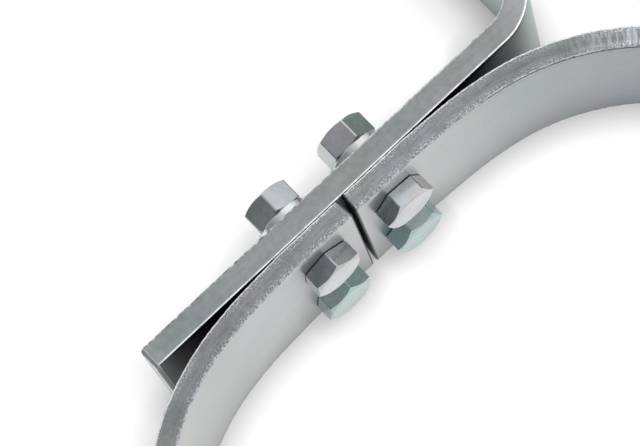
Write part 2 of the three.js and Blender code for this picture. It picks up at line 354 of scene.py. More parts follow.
def sheared_zinc(name, dark, light, rough, grit_size, sparkle):
    """A sheared edge of the strip: a calm middle, gritty long edges with painted glints on their grains,
    cross lines on the right arc and painted light and shade along x.
    """
    n = Nodes(name)
    place = n.coords.outputs["Object"]
    depth = n.maths("MODULO", n.axis("Y", "UV"), WIDTH * MM)
    from_middle = n.maths("ABSOLUTE", n.maths("SUBTRACT", depth, BAND_THICK / 2 * MM))
    streaks = n.noise(n.mapped("UV", (160.0, 1300.0, 1.0)), 1.0, 3.0, 0.6)
    lines = n.noise(n.mapped("UV", (1500.0, 220.0, 1.0)), 1.0, 2.0, 0.5)
    lines = n.remap(lines, 0.36, 0.64, 0.15, 0.85)
    patches = n.noise(place, 85.0, 3.0, 0.6)
    mottled = n.noise(place, 1300.0, 4.0, 0.65)
    grit = n.noise(n.mapped("UV", (grit_size * 0.8, grit_size * 1.25, 1.0)), 1.0, 2.0, 0.6)
    cross = n.x_share(0.06, 0.085)
    worked = n.mix(cross, n.grey(streaks), n.grey(lines))
    middle = tuple((a + b) / 2 for a, b in zip(dark, light))
    blend = n.maths("ADD", n.times(mottled, 0.4), n.times(worked, 0.6))
    plain = n.ramp(blend, [(0.33, dark), (0.5, middle), (0.67, light)])
    striped = n.ramp(lines, [(0.25, scaled(dark, 0.6)), (0.75, scaled(light, 1.3))])
    base = n.mix(n.times(cross, 0.7), plain, striped)
    near_edge = n.remap(from_middle, 0.0009, 0.0021, 0.15, 1.0)
    coarse = n.times(near_edge, n.remap(patches, 0.36, 0.6, 0.25, 1.0))
    # Painted glints on the real grit: its high grains turn near white.
    lit = n.times(n.remap(grit, 0.555, 0.62, 0.0, sparkle), coarse)
    colour = n.mix(lit, base, (0.97, 0.98, 0.99))
    pits = n.times(n.remap(grit, 0.43, 0.37, 0.0, sparkle), coarse)
    colour = n.mix(pits, colour, scaled(dark, 0.6))
    groove = n.times(n.remap(from_middle, 0.0002, 0.0012, 1.0, 0.0), n.x_share(0.03, 0.05))
    colour = n.toned(colour, n.remap(groove, 0.0, 1.0, 1.0, 0.86))
    colour = n.toned(colour, n.remap(patches, 0.35, 0.65, 0.9, 1.07))
    # Painted light and shade along the edge, by x.
    colour = n.tinted(colour, n.ramp(n.x_share(-0.09, 0.11), EDGE_LIGHT_AND_SHADE))
    roughness = n.spread(mottled, rough - 0.05, rough + 0.1)
    normal = n.bump(worked, 0.3, 0.00008)
    normal = n.bump(n.times(grit, coarse), 1.0, 0.00022, normal)
    return n.finish(colour, roughness, normal)


def rim_zinc(name, dark, light, rough, scale, depth, metallic=1.0):
    """The rounded rim between a face and a cut edge, with a painted highlight along it and small nicks."""
    n = Nodes(name)
    place = n.coords.outputs["Object"]
    nicks = n.noise(place, scale, 4.0, 0.65)
    colour = n.ramp(nicks, [(0.36, dark), (0.56, light)])
    roughness = n.spread(nicks, rough + 0.12, rough - 0.06)
    normal = n.bump(nicks, depth, 0.00016)
    return n.finish(colour, roughness, normal, metallic)


def inner_rim_zinc(name):
    """The bands' rim inside the ring: mottled by the joint, then a painted highlight line over a painted
    shadow line.
    """
    n = Nodes(name)
    place = n.coords.outputs["Object"]
    nicks = n.noise(place, 1700.0, 3.0, 0.65)
    dashes = n.noise(n.mapped("UV", (900.0, 900.0, 1.0)), 1.0, 2.0, 0.6)
    mottled = n.ramp(nicks, [(0.38, (0.2, 0.208, 0.214)), (0.6, (0.6, 0.61, 0.62))])
    height = n.maths("ADD", n.axis("Z"), n.spread(nicks, -0.00006, 0.00006))
    # Painted highlight line over a painted shadow line, by height.
    lined = n.mix(n.share(height, 0.04972, 0.04986), (0.07, 0.074, 0.078), (0.7, 0.71, 0.72))
    lined = n.mix(n.remap(dashes, 0.5, 0.6, 0.0, 0.7), lined, (0.2, 0.208, 0.214))
    colour = n.mix(n.x_share(0.034, 0.046), mottled, lined)
    return n.finish(colour, n.spread(nicks, 0.4, 0.56), n.bump(nicks, 0.5, 0.00012), 0.55)


def back_rim_zinc(name):
    """The bar's outer rim: chipped and dull on the short end, lighter towards the arm."""
    n = Nodes(name)
    place = n.coords.outputs["Object"]
    chips = n.noise(n.mapped("UV", (520.0, 900.0, 1.0)), 1.0, 3.0, 0.65)
    nicks = n.noise(place, 800.0, 3.0, 0.6)
    dull = n.ramp(chips, [(0.38, (0.1, 0.104, 0.106)), (0.5, GREY_ZINC), (0.62, (0.7, 0.71, 0.7))])
    light = n.ramp(nicks, [(0.36, (0.42, 0.44, 0.44)), (0.6, (0.8, 0.82, 0.81))])
    colour = n.mix(n.x_share(-0.015, 0.02), dull, light)
    return n.finish(colour, n.spread(chips, 0.5, 0.36), n.bump(chips, 0.5, 0.00014), 0.5)


def end_zinc(name):
    """The rounded end of the bar: a dull light strip between two thin lines of painted highlight."""
    n = Nodes(name)
    nicks = n.noise(n.coords.outputs["Object"], 700.0, 3.0, 0.6)
    along = n.maths("ADD", n.axis("X", "UV"), n.spread(nicks, -0.0001, 0.0001))
    colour = n.ramp(n.share(along, 0.0, 0.0022), END_HIGHLIGHT_LINES)
    n.shader.inputs["Specular IOR Level"].default_value = 0.3
    return n.finish(colour, n.spread(nicks, 0.5, 0.6), n.bump(nicks, 0.3, 0.0001), 0.35)


def plated_hardware(name, dark, light, rough):
    """Bright zinc on turned and forged hardware, with forging marks, soft clouds and green lower heads."""
    n = Nodes(name)
    place = n.coords.outputs["Object"]
    clouds = n.noise(place, 120.0, 3.0, 0.5)
    marks = n.noise(place, 900.0, 3.0, 0.6)
    grain = n.noise(place, 3200.0, 2.0, 0.5)
    tints = n.noise(place, 95.0, 1.0, 0.4, 0.8)
    base = n.ramp(clouds, [(0.3, dark), (0.7, light)])
    tint = n.ramp(tints, [(0.38, (0.93, 1.0, 0.98)), (0.5, (0.97, 0.99, 1.0)), (0.62, (1.0, 0.98, 0.94))])
    colour = n.tinted(base, tint)
    colour = n.toned(colour, n.spread(marks, 0.93, 1.05))
    inside = n.from_seat(-40, -20, 0.0, 1.0)
    inside = n.times(inside, n.from_seat(-1, 0, 1.0, 0.0))
    low = n.times(inside, n.remap(n.axis("Z"), 0.016, 0.022, 1.0, 0.0))
    cast = n.times(low, n.remap(clouds, 0.35, 0.6, 0.45, 1.0))
    colour = n.mix(cast, colour, n.tinted(colour, (0.78, 1.0, 0.97)))
    roughness = n.spread(marks, rough - 0.05, rough + 0.07)
    normal = n.bump(clouds, 0.3, 0.0003)
    normal = n.bump(marks, 0.3, 0.00006, normal)
    normal = n.bump(grain, 0.15, 0.00002, normal)
    return n.finish(colour, roughness, normal, n.remap(low, 0.0, 1.0, 0.93, 0.4))


# How far from a piece the painted shadow on the table reaches, in metres, all round it and on the side away
# from the light.
CONTACT_REACH = 0.009
SHADE_REACH = 0.018
STRAIGHT_UP = (0.0, 0.0, 1.0)
TOWARDS_SHADE = (0.5, -0.75, 0.5)
FLOOR_GLOW = 1.06
OPENNESS_SAMPLES = 16

# A middling grey where the plating is worn.
GREY_ZINC = (0.32, 0.33, 0.335)
# Painted shade on the bar's inner face along x, from the left end to the arm.
BAR_WEDGE_SHADE = [
    (0.0, (0.4, 0.415, 0.42)),
    (0.1, (0.32, 0.335, 0.345)),
    (0.6, (0.2, 0.21, 0.22)),
    (0.8, (0.25, 0.265, 0.265)),
    (1.0, (0.78, 0.78, 0.78)),
]
# Painted light and shade on the bands' upper edge along x, from the left arc to the right one.
EDGE_LIGHT_AND_SHADE = [
    (0.05, WHITE),
    (0.13, (0.9, 0.9, 0.9)),
    (0.38, (0.9, 0.9, 0.9)),
    (0.46, WHITE),
    (0.6, WHITE),
    (0.72, (0.84, 0.84, 0.84)),
    (0.79, (1.04, 1.04, 1.04)),
    (0.88, (1.65, 1.66, 1.66)),
    (1.0, (1.1, 1.1, 1.1)),
]
# Bands of tone across the bar's rounded end, with two thin lines of painted highlight.
END_HIGHLIGHT_LINES = [
    (0.0, (0.95, 0.96, 0.96)),
    (0.06, (0.9, 0.91, 0.91)),
    (0.13, (0.34, 0.36, 0.35)),
    (0.44, (0.32, 0.34, 0.33)),
    (0.53, (0.85, 0.86, 0.86)),
    (0.6, (0.32, 0.34, 0.33)),
]

BAR_FACE = rolled_zinc(
    "zinc_bar_face", dark=(0.42, 0.44, 0.44), light=(0.52, 0.54, 0.54),
    tint_a=(0.92, 1.0, 0.97), tint_b=(1.0, 0.985, 0.96), rough=0.34, shading=bar_shading,
)
BAR_EDGE = rolled_zinc(
    "zinc_bar_edge", dark=(0.32, 0.336, 0.344), light=(0.42, 0.436, 0.442),
    tint_a=(0.94, 1.0, 0.97), tint_b=(1.0, 0.98, 0.95), rough=0.4, cloud_scale=40.0, shading=bar_edge_shading,
)
# Painted highlight: the bar's rim is far lighter than its face, for the bright line along the edge.
BAR_RIM = rim_zinc("zinc_bar_rim_painted_highlight", (0.66, 0.68, 0.69), (0.95, 0.96, 0.97), rough=0.26, scale=300.0, depth=0.2)
BAR_BACK_RIM = back_rim_zinc("zinc_bar_back_rim")
BAR_END = end_zinc("zinc_bar_end")
BAND_FACE = rolled_zinc(
    "zinc_band_face", dark=(0.43, 0.445, 0.446), light=(0.53, 0.543, 0.54),
    tint_a=(0.94, 1.0, 0.95), tint_b=(0.97, 0.985, 1.0), rough=0.33, shading=band_shading,
)
BAND_EDGE = sheared_zinc(
    "zinc_band_edge", (0.29, 0.301, 0.308), (0.45, 0.464, 0.472), rough=0.4, grit_size=2400.0, sparkle=0.85,
)
# Painted highlight: a near-white, half metallic rim for the bright line along the bands' edge.
BAND_RIM = rim_zinc(
    "zinc_band_rim_painted_highlight", (0.6, 0.61, 0.62), (0.98, 0.99, 0.99), rough=0.4, scale=700.0, depth=0.4, metallic=0.3,
)
BAND_INNER_RIM = inner_rim_zinc("zinc_band_inner_rim")
# Painted shade: the bands' ends at the joint and their rounded starts are near black for the shade in the
# narrow gap between them.
SHADED_CUT_ZINC = sheared_zinc(
    "zinc_cut_end_painted_shade", (0.09, 0.094, 0.1), (0.15, 0.155, 0.16), rough=0.5, grit_size=900.0, sparkle=0.0,
)
HARDWARE = plated_hardware("zinc_hardware", (0.46, 0.474, 0.484), (0.59, 0.602, 0.61), rough=0.22)
WASHER_ZINC = plated_hardware("zinc_washer", (0.74, 0.76, 0.765), (0.86, 0.88, 0.885), rough=0.28)
THREAD = plated_hardware("zinc_thread", (0.46, 0.48, 0.49), (0.58, 0.6, 0.61), rough=0.3)


def white_floor():
    """A back-lit white table, with painted shadow close to what stands on it and on the side away from the
    light.
    """
    n = Nodes("floor_white")
    contact_shadow = n.remap(n.openness(CONTACT_REACH, STRAIGHT_UP), 0.45, 0.98, 0.62, 1.0)
    shade = n.remap(n.openness(SHADE_REACH, TOWARDS_SHADE), 0.3, 0.95, 0.5, 1.0)
    n.put(n.shader.inputs["Specular IOR Level"], 0.0)
    n.put(n.shader.inputs["Emission Color"], (*WHITE, 1.0))
    n.put(n.shader.inputs["Emission Strength"], n.times(n.times(contact_shadow, shade), FLOOR_GLOW))
    n.put(n.shader.inputs["Base Color"], (0.0, 0.0, 0.0, 1.0))
    n.put(n.shader.inputs["Roughness"], 0.8)
    return n.material


# ======================= meshes =======================


def new_piece(name, verts, faces, materials, sharp_deg, indices=None, uvs=None):
    """A mesh object from plain lists, with edges over sharp_deg kept sharp and the rest smooth."""
    mesh = bpy.data.meshes.new(name)
    mesh.from_pydata([Vector(v) * MM for v in verts], [], faces)
    for material in materials:
        mesh.materials.append(material)
    if indices is not None:
        mesh.polygons.foreach_set("material_index", indices)
    if uvs is not None:
        layer = mesh.uv_layers.new(name="strip")
        for loop in mesh.loops:
            layer.data[loop.index].uv = uvs[loop.vertex_index]
    obj = bpy.data.objects.new(name, mesh)
    bpy.context.scene.collection.objects.link(obj)
    soften(obj, sharp_deg)
    return obj


def soften(obj, sharp_deg):
    """Smooth shading with hard edges where faces meet at a clear angle."""
    work = bmesh.new()
    work.from_mesh(obj.data)
    bmesh.ops.recalc_face_normals(work, faces=work.faces)
    limit = math.radians(sharp_deg)
    for face in work.faces:
        face.smooth = True
    for edge in work.edges:
        edge.smooth = len(edge.link_faces) == 2 and edge.calc_face_angle(0) < limit
    work.to_mesh(obj.data)
    work.free()


def cut(obj, cutters, sharp_deg):
    """Subtracts the cutters and removes them."""
    bpy.context.view_layer.update()
    for cutter in cutters:
        modifier = obj.modifiers.new("cut", "BOOLEAN")
        modifier.operation = "DIFFERENCE"
        modifier.solver = "EXACT"
        modifier.object = cutter
    dg = bpy.context.evaluated_depsgraph_get()
    made = bpy.data.meshes.new_from_object(obj.evaluated_get(dg))
    obj.modifiers.clear()
    old = obj.data
    obj.data = made
    bpy.data.meshes.remove(old)
    for cutter in cutters:
        bpy.data.objects.remove(cutter)
    soften(obj, sharp_deg)


def ring_faces(rings, count):
    """The faces between neighbouring rings of count points, ring by ring."""
    return [
        (k * count + i, k * count + (i + 1) % count, (k + 1) * count + (i + 1) % count, (k + 1) * count + i)
        for k in range(rings - 1)
        for i in range(count)
    ]


def end_faces(rings, count):
    """The two faces that close the first and the last ring."""
    last = (rings - 1) * count
    return [tuple(range(count)), tuple(last + i for i in reversed(range(count)))]


# ---- strips swept along a flat path ----


def arc(cx, cy, radius, start, end, side=1):
    """Stations (x, y, nx, ny) round a bend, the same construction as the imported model."""
    count = max(4, math.ceil(abs(end - start) * radius / STATION_STEP))
    out = []
    for i in range(count + 1):
        a = start + (end - start) * i / count
        nx, ny = math.sin(a), math.cos(a)
        out.append((cx + side * radius * nx, cy + side * radius * ny, nx, ny))
    return out


def straight(first, last):
    """Stations from first to last with a fixed normal."""
    (x0, y0, nx, ny), (x1, y1) = first, last[:2]
    count = max(1, math.ceil(math.hypot(x1 - x0, y1 - y0) / STATION_STEP))
    return [(x0 + (x1 - x0) * i / count, y0 + (y1 - y0) * i / count, nx, ny) for i in range(count + 1)]


# Material slots of a strip. The rim is on the side where bar and bands meet, the inner rim on the other.
FACE, CUT_EDGE, RIM, CUT_END, INNER_RIM, END_RIM = range(6)


def profile(thickness):
    """The strip's section as (depth, height, tag) round its outline, with rounded corners.

    A tag is the material slot of the side that follows: a face, a cut edge or the rim between them.
    """
    points = []
    corners = (
        ((RIM_R, WIDTH - RIM_R), math.pi / 2, math.pi, (RIM, RIM, FACE, FACE)),
        ((RIM_R, RIM_R), math.pi, 3 * math.pi / 2, (FACE, RIM, RIM, CUT_EDGE)),
        ((thickness - RIM_R, RIM_R), 3 * math.pi / 2, TAU, (INNER_RIM, INNER_RIM, INNER_RIM, FACE)),
        ((thickness - RIM_R, WIDTH - RIM_R), 0, math.pi / 2, (INNER_RIM, INNER_RIM, INNER_RIM, CUT_EDGE)),
    )
    for index, ((cd, cz), start, end, tags) in enumerate(corners):
        for i, tag in enumerate(tags):
            a = start + (end - start) * i / 3
            points.append((cd + RIM_R * math.cos(a), cz + RIM_R * math.sin(a), tag))
        following = tags[-1]
        (nd, nz), next_start, _, _ = corners[(index + 1) % 4]
        d0, z0, _ = points[-1]
        d1, z1 = nd + RIM_R * math.cos(next_start), nz + RIM_R * math.sin(next_start)
        steps = STEPS_ACROSS if following == FACE else STEPS_THROUGH
        for i in range(1, steps):
            share = i / steps
            points.append((d0 + (d1 - d0) * share, z0 + (z1 - z0) * share, following))
    return points


def tip_squeeze(remaining):
    """How far a rounded tip of the strip has come in from both long edges, near its end."""
    if remaining >= TIP_R:
        return 0.0
    return TIP_R - math.sqrt(max(0.0, TIP_R**2 - (TIP_R - remaining) ** 2))


def denser_tip(stations):
    """Adds stations close to the strip's last end, where a rounded tip needs them."""
    x1, y1, nx, ny = stations[-1]
    kept = [s for s in stations if math.hypot(s[0] - x1, s[1] - y1) > TIP_R or (s[2], s[3]) != (nx, ny)]
    x0, y0 = kept[-1][:2]
    length = math.hypot(x1 - x0, y1 - y0)
    ux, uy = (x1 - x0) / length, (y1 - y0) / length
    for i in range(1, TIP_STEPS + 1):
        back = length * math.cos(math.pi / 2 * i / TIP_STEPS)
        kept.append((x1 - ux * back, y1 - uy * back, nx, ny))
    return kept


def strip(name, stations, thickness, materials, seed, end_rim, lean=0.0, calm_side=0.0):
    """Sweeps the section along the stations, with a rounded start, a rounded tip and worn rims.

    A lean brings the start nearer its neighbour inside the ring. A calm side keeps the rim where bar and
    bands meet from wearing.
    """
    section = profile(thickness)
    stations = denser_tip(stations)
    lengths = [0.0]
    for a, b in zip(stations, stations[1:]):
        lengths.append(lengths[-1] + math.hypot(b[0] - a[0], b[1] - a[1]))
    total = lengths[-1]
    (x0, y0), (x1, y1) = stations[0][:2], stations[1][:2]
    first_step = math.hypot(x1 - x0, y1 - y0)
    back_x, back_y = (x0 - x1) / first_step, (y0 - y1) / first_step

    verts, uvs = [], []

    def add_ring(x, y, nx, ny, s, inset):
        squeeze = min(tip_squeeze(total - s), TIP_R * 0.999)
        for depth, height, _ in section:
            d = min(max(depth, inset), thickness - inset)
            z = min(max(height, inset), WIDTH - inset)
            z = squeeze + z * (WIDTH - 2 * squeeze) / WIDTH
            wave = noise.noise(Vector((s * 0.9, (depth + height) * 0.35, seed)))
            fine = noise.noise(Vector((s * 2.7, (depth + height) * 0.8, seed + 5)))
            near = max(0.0, 1 - abs(min(height, WIDTH - height)) / WEAR_WIDTH)
            bite = RIM_WEAR * (1 - calm_side * (1 - d / thickness)) * near
            bite *= max(0.0, 0.45 * wave + 0.55 * fine + 0.25)
            d += bite * (0.5 - d / thickness) * 1.6
            z += bite * (0.5 - z / WIDTH) * 0.8
            leaning = lean * max(0.0, 1 - s / LEAN_REACH) * d / thickness
            verts.append((x - d * nx + leaning * back_x, SEAT_Y + y - d * ny + leaning * back_y, z))
            uvs.append((s * MM, (depth + height) * MM))

    for i in range(END_STEPS + 1):
        a = math.pi / 2 * i / END_STEPS
        along = end_rim * (1 - math.cos(a))
        inset = end_rim * (1 - math.sin(a))
        add_ring(x0 - back_x * along, y0 - back_y * along, *stations[0][2:], along, inset)
    for station, s in zip(stations, lengths):
        if end_rim + END_CLEAR < s < total - END_CLEAR:
            add_ring(*station, s, 0.0)
    add_ring(*stations[-1], total, 0.0)

    rings = len(verts) // len(section)
    faces = ring_faces(rings, len(section)) + end_faces(rings, len(section))
    indices = [END_RIM if k < END_STEPS else tag for k in range(rings - 1) for _, _, tag in section]
    indices += [CUT_END, CUT_EDGE]
    return new_piece(name, verts, faces, materials, STRIP_SHARP_DEG, indices, uvs)


def point_on(centre, radius, angle):
    """The point of a circle at an angle from the outward direction, positive to the right."""
    return centre[0] + radius * math.sin(angle), centre[1] + radius * math.cos(angle)


def band_path(start_x, side):
    """Stations along the outer face of a half band, from the joint to the tip of its ear."""
    lift = point_on((FLAT_HALF, 0.0), -LIFT_R, 0.0)
    lift_end = point_on(lift, LIFT_R, LIFT_ANGLE)
    ease_start = (EASE_START_X, lift_end[1] - (EASE_START_X - lift_end[0]) * math.tan(LIFT_ANGLE))
    ease = point_on(ease_start, -EASE_R, LIFT_ANGLE)
    shoulder = point_on(point_on(ease, EASE_R, EASE_ANGLE), -SHOULDER_R, EASE_ANGLE)
    inner = RING_OUTER_R - SHOULDER_R
    shoulder_angle = math.asin(shoulder[0] / inner)
    ring_y = shoulder[1] - inner * math.cos(shoulder_angle)
    ear_face = EAR_HALF_GAP + BAND_THICK
    bend_x = ear_face + EAR_BEND_R
    reach = RING_OUTER_R + EAR_BEND_R
    ear_angle = math.pi - math.asin(bend_x / reach)
    ear_y = ring_y + reach * math.cos(ear_angle)
    slope = (math.sin(LIFT_ANGLE), math.cos(LIFT_ANGLE))
    path = (
        straight((start_x, 0, 0, 1), (FLAT_HALF, 0, 0, 1))
        + arc(*lift, LIFT_R, 0, LIFT_ANGLE)[1:]
        + straight((*lift_end, *slope), (*ease_start, *slope))[1:]
        + arc(*ease, EASE_R, LIFT_ANGLE, EASE_ANGLE)[1:]
        + arc(*shoulder, SHOULDER_R, EASE_ANGLE, shoulder_angle)[1:]
        + arc(0, ring_y, RING_OUTER_R, shoulder_angle, ear_angle)[1:]
        + arc(bend_x, ear_y, EAR_BEND_R, ear_angle, math.pi / 2, -1)[1:]
        + straight((ear_face, ear_y, 1, 0), (ear_face, ear_y - EAR_LENGTH, 1, 0))[1:]
    )
    return [(side * x, y, side * nx, ny) for x, y, nx, ny in path]


def bar_path():
    """Stations along the bar's face on the bands, round its bend and up the arm."""
    outer = BEND_INNER_R + BAR_THICK
    face = BEND_START_X + outer
    return (
        straight((BAR_END_X, 0, 0, -1), (BEND_START_X, 0, 0, -1))
        + arc(BEND_START_X, outer, outer, math.pi, math.pi / 2)[1:]
        + straight((face, outer, 1, 0), (face, ARM_LENGTH, 1, 0))[1:]
    )


# ---- turned and hexagonal pieces, built along +y about the origin ----


def turned(name, rows, angles, materials, tag_of=None, closed=True, sharp_deg=24.0):
    """Rows, each a function from the angle to (radius, y), joined round the axis.

    It is closed with end caps, or else the last row joins the first one.
    """
    verts = []
    for row in rows:
        for a in angles:
            r, y = row(a)
            verts.append((r * math.cos(a), y, r * math.sin(a)))
    count, last = len(angles), len(rows) - 1
    faces = ring_faces(len(rows), count)
    indices = [tag_of(k) if tag_of else 0 for k in range(last) for _ in range(count)]
    if closed:
        faces += end_faces(len(rows), count)
    else:
        faces += [
            (last * count + i, last * count + (i + 1) % count, (i + 1) % count, i) for i in range(count)
        ]
    indices += [0] * (len(faces) - len(indices))
    return new_piece(name, verts, faces, materials, sharp_deg, indices)


def fixed(radius, y):
    return lambda a: (radius, y)


def even_angles(count):
    return [TAU * i / count for i in range(count)]


CORNER_R = ACROSS_FLATS / math.sqrt(3)
CORNER_CLIP = 0.984
FACE_R = 0.95 * ACROSS_FLATS / 2
CLIP_ANGLE = math.acos(ACROSS_FLATS / 2 / (CORNER_CLIP * CORNER_R))
# Degrees from the middle of a flat: a corner, and steps across the flat between its clipped corners.
HEX_CORNER = -30
HEX_STEPS = range(-25, 26, 5)
# Shares of the way from one chamfer curve to the other, and out over a chamfer, where rows lie.
FLAT_ROWS = (0.02, 0.2, 0.4, 0.6, 0.8, 0.98)
CHAMFER_ROWS = (0.33, 0.66, 1.0)


def hex_angles():
    """Angles round a hexagon whose corners are at 0, 60, 120 degrees and so on."""
    out = []
    for sector in range(6):
        middle = math.radians(30 + 60 * sector)
        out += [middle + math.radians(HEX_CORNER), middle - CLIP_ANGLE]
        out += [middle + math.radians(turn) for turn in HEX_STEPS]
        out.append(middle + CLIP_ANGLE)
    return out


def hex_radius(a):
    """Distance from the axis to the side of the hexagon, whose corners are clipped a little."""
    off = (a % (TAU / 6)) - math.pi / 6
    return min(ACROSS_FLATS / 2 / math.cos(off), CORNER_CLIP * CORNER_R)


def chamfer_y(radius, face_y, away):
    """Height of the 30 degree chamfer cone at a radius, leaving the face in the direction away."""
    return face_y + away * max(0.0, radius - FACE_R) * math.tan(math.pi / 6)


def hex_row(share, face_y, away):
    """A row on the chamfer, a share of the way out to the hexagon's side."""

    def row(a):
        r = FACE_R + share * (hex_radius(a) - FACE_R)
        return r, chamfer_y(r, face_y, away)

    return row


def side_row(share, low, high):
    """A row on the flats between the two chamfer curves."""

    def row(a):
        y0, y1 = low(a), high(a)
        return hex_radius(a), y0 + share * (y1 - y0)

    return row


def thread_radius(a, y, start):
    """Radius of a right-hand thread that runs out smoothly at its start."""
    phase = (y / THREAD_PITCH + a / TAU) % 1.0
    tooth = 1 - abs(2 * phase - 1)
    cut_depth = THREAD_DEPTH * min(1.0, max(0.0, 1.15 - 1.3 * tooth))
    fade = min(1.0, max(0.0, (y - start) / THREAD_FADE))
    return SHANK_R - cut_depth * fade


def bolt(name, length, thread_start):
    """Hexagon head below y = 0 and a threaded shank above it, one closed mesh."""
    top = -HEAD_HEIGHT
    head_chamfer = lambda a: chamfer_y(hex_radius(a), top, 1)
    under_head = lambda a: -HEAD_UNDER
    rows = [fixed(FACE_R * k, top) for k in (0.3, 0.65, 0.93)]
    rows.append(fixed(FACE_R, top + 0.02))
    rows += [hex_row(k, top, 1) for k in CHAMFER_ROWS]
    rows += [side_row(k, head_chamfer, under_head) for k in (*FLAT_ROWS, 1.0)]
    rows.append(lambda a: (hex_radius(a) - 0.3, -HEAD_LIP))
    rows += [fixed(6.0, -HEAD_LIP), fixed(5.9, 0.0)]
    rows += [fixed(SHANK_R, y) for y in (0.0, 0.2, thread_start * 0.5, thread_start)]
    shank_from = len(rows) - 1
    threaded = length - TIP_CHAMFER - thread_start
    steps = math.ceil(threaded / THREAD_ROW)
    for i in range(1, steps + 1):
        y = thread_start + threaded * i / steps
        rows.append(lambda a, y=y: (thread_radius(a, y, thread_start), y))
    rows.append(lambda a: (min(SHANK_R - 0.35, thread_radius(a, length - 0.5, thread_start)), length - 0.45))
    rows += [fixed(SHANK_R - 0.85, length - 0.04), fixed(SHANK_R - 1.1, length), fixed(1.2, length)]
    return turned(name, rows, hex_angles(), [HARDWARE, THREAD], lambda k: 1 if k > shank_from else 0)


def nut(name):
    """A chamfered hexagon nut from y = 0 up, with its face a hair clear of the spring washer."""
    low_curve = lambda a: chamfer_y(hex_radius(a), 0.0, 1)
    high_curve = lambda a: chamfer_y(hex_radius(a), NUT_HEIGHT, -1)
    mouth = NUT_BORE_R + 0.55
    rows = [fixed(mouth, HAIR), fixed(FACE_R - 0.1, HAIR), fixed(FACE_R, 2 * HAIR)]
    rows += [hex_row(k, 0.0, 1) for k in CHAMFER_ROWS]
    rows += [side_row(k, low_curve, high_curve) for k in FLAT_ROWS]
    rows += [hex_row(k, NUT_HEIGHT, -1) for k in reversed(CHAMFER_ROWS)]
    rows += [fixed(FACE_R, NUT_HEIGHT - 0.02), fixed(FACE_R - 0.1, NUT_HEIGHT), fixed(mouth, NUT_HEIGHT)]
    rows += [fixed(NUT_BORE_R, NUT_HEIGHT - NUT_COUNTERSINK), fixed(NUT_BORE_R, NUT_COUNTERSINK)]
    bore_from = len(rows) - 3
    tag_of = lambda k: 1 if k >= bore_from else 0
    return turned(name, rows, hex_angles(), [HARDWARE, THREAD], tag_of, closed=False)


def washer(name):
    """A stamped washer from y = 0 up, rounder on its upper side."""
    inner, outer, thick = WASHER
    rows = [
        fixed(inner, 0.15), fixed(inner + 0.15, 0.0), fixed(outer - 0.12, 0.0), fixed(outer, 0.1),
        fixed(outer, thick - 0.4), fixed(outer - 0.12, thick - 0.14), fixed(outer - 0.4, thick),
        fixed(inner + 0.35, thick), fixed(inner, thick - 0.3),
    ]
    angles = even_angles(RING_STEPS)
    return turned(name, rows, angles, [WASHER_ZINC], closed=False, sharp_deg=WASHER_SHARP_DEG)


def spring_washer(name):
    """A split ring with softened corners and a slanted slit at the +z side."""
    inner, outer, thick = SPRING
    soft = SPRING_CORNER
    section = [
        (inner + soft, 0.0), (outer - soft, 0.0), (outer, soft), (outer, thick - soft),
        (outer - soft, thick), (inner + soft, thick), (inner, thick - soft), (inner, soft),
    ]
    verts = []
    for i in range(RING_STEPS + 1):
        share = i / RING_STEPS
        for r, y in section:
            slant = (y / thick - 0.5) * SLIT_SLANT * abs(1 - 2 * share)
            a = math.pi / 2 + SLIT_HALF + slant + share * (TAU - 2 * SLIT_HALF)
            verts.append((r * math.cos(a), y, r * math.sin(a)))
    rings, count = RING_STEPS + 1, len(section)
    faces = ring_faces(rings, count) + end_faces(rings, count)
    return new_piece(name, verts, faces, [WASHER_ZINC], WASHER_SHARP_DEG)


def place(obj, along, turn, x, y, z):
    """Turns a piece about its own axis, lays the axis along x or y and moves it, in its mesh."""
    matrix = Matrix.Rotation(-turn, 4, "Y")
    if along == "x":
        matrix = Matrix.Rotation(-math.pi / 2, 4, "Z") @ matrix
    obj.data.transform(Matrix.Translation(Vector((x, y, z)) * MM) @ matrix)
    return obj


def settle(obj, body, node):
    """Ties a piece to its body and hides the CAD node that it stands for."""
    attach(obj, body)
    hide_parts(node)
    return obj


# ======================= the clamp =======================


def bore_cutter(x, y, z, radius, thickness, along):
    """A drill with a small flare where it leaves each face of the strip."""
    half = thickness / 2
    wide = radius + BORE_FLARE
    rows = [
        fixed(wide, -half - 1), fixed(wide, -half), fixed(radius, -half + BORE_FLARE),
        fixed(radius, half - BORE_FLARE), fixed(wide, half), fixed(wide, half + 1),
    ]
    cutter = turned("cutter", rows, even_angles(64), [])
    return place(cutter, along, 0.0, x, y, z)


def ear_bolt_y():
    """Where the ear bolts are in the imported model, in millimetres of the row frame."""
    low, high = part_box("ear_nut_upper")
    return (low.y + high.y) / 2 / MM


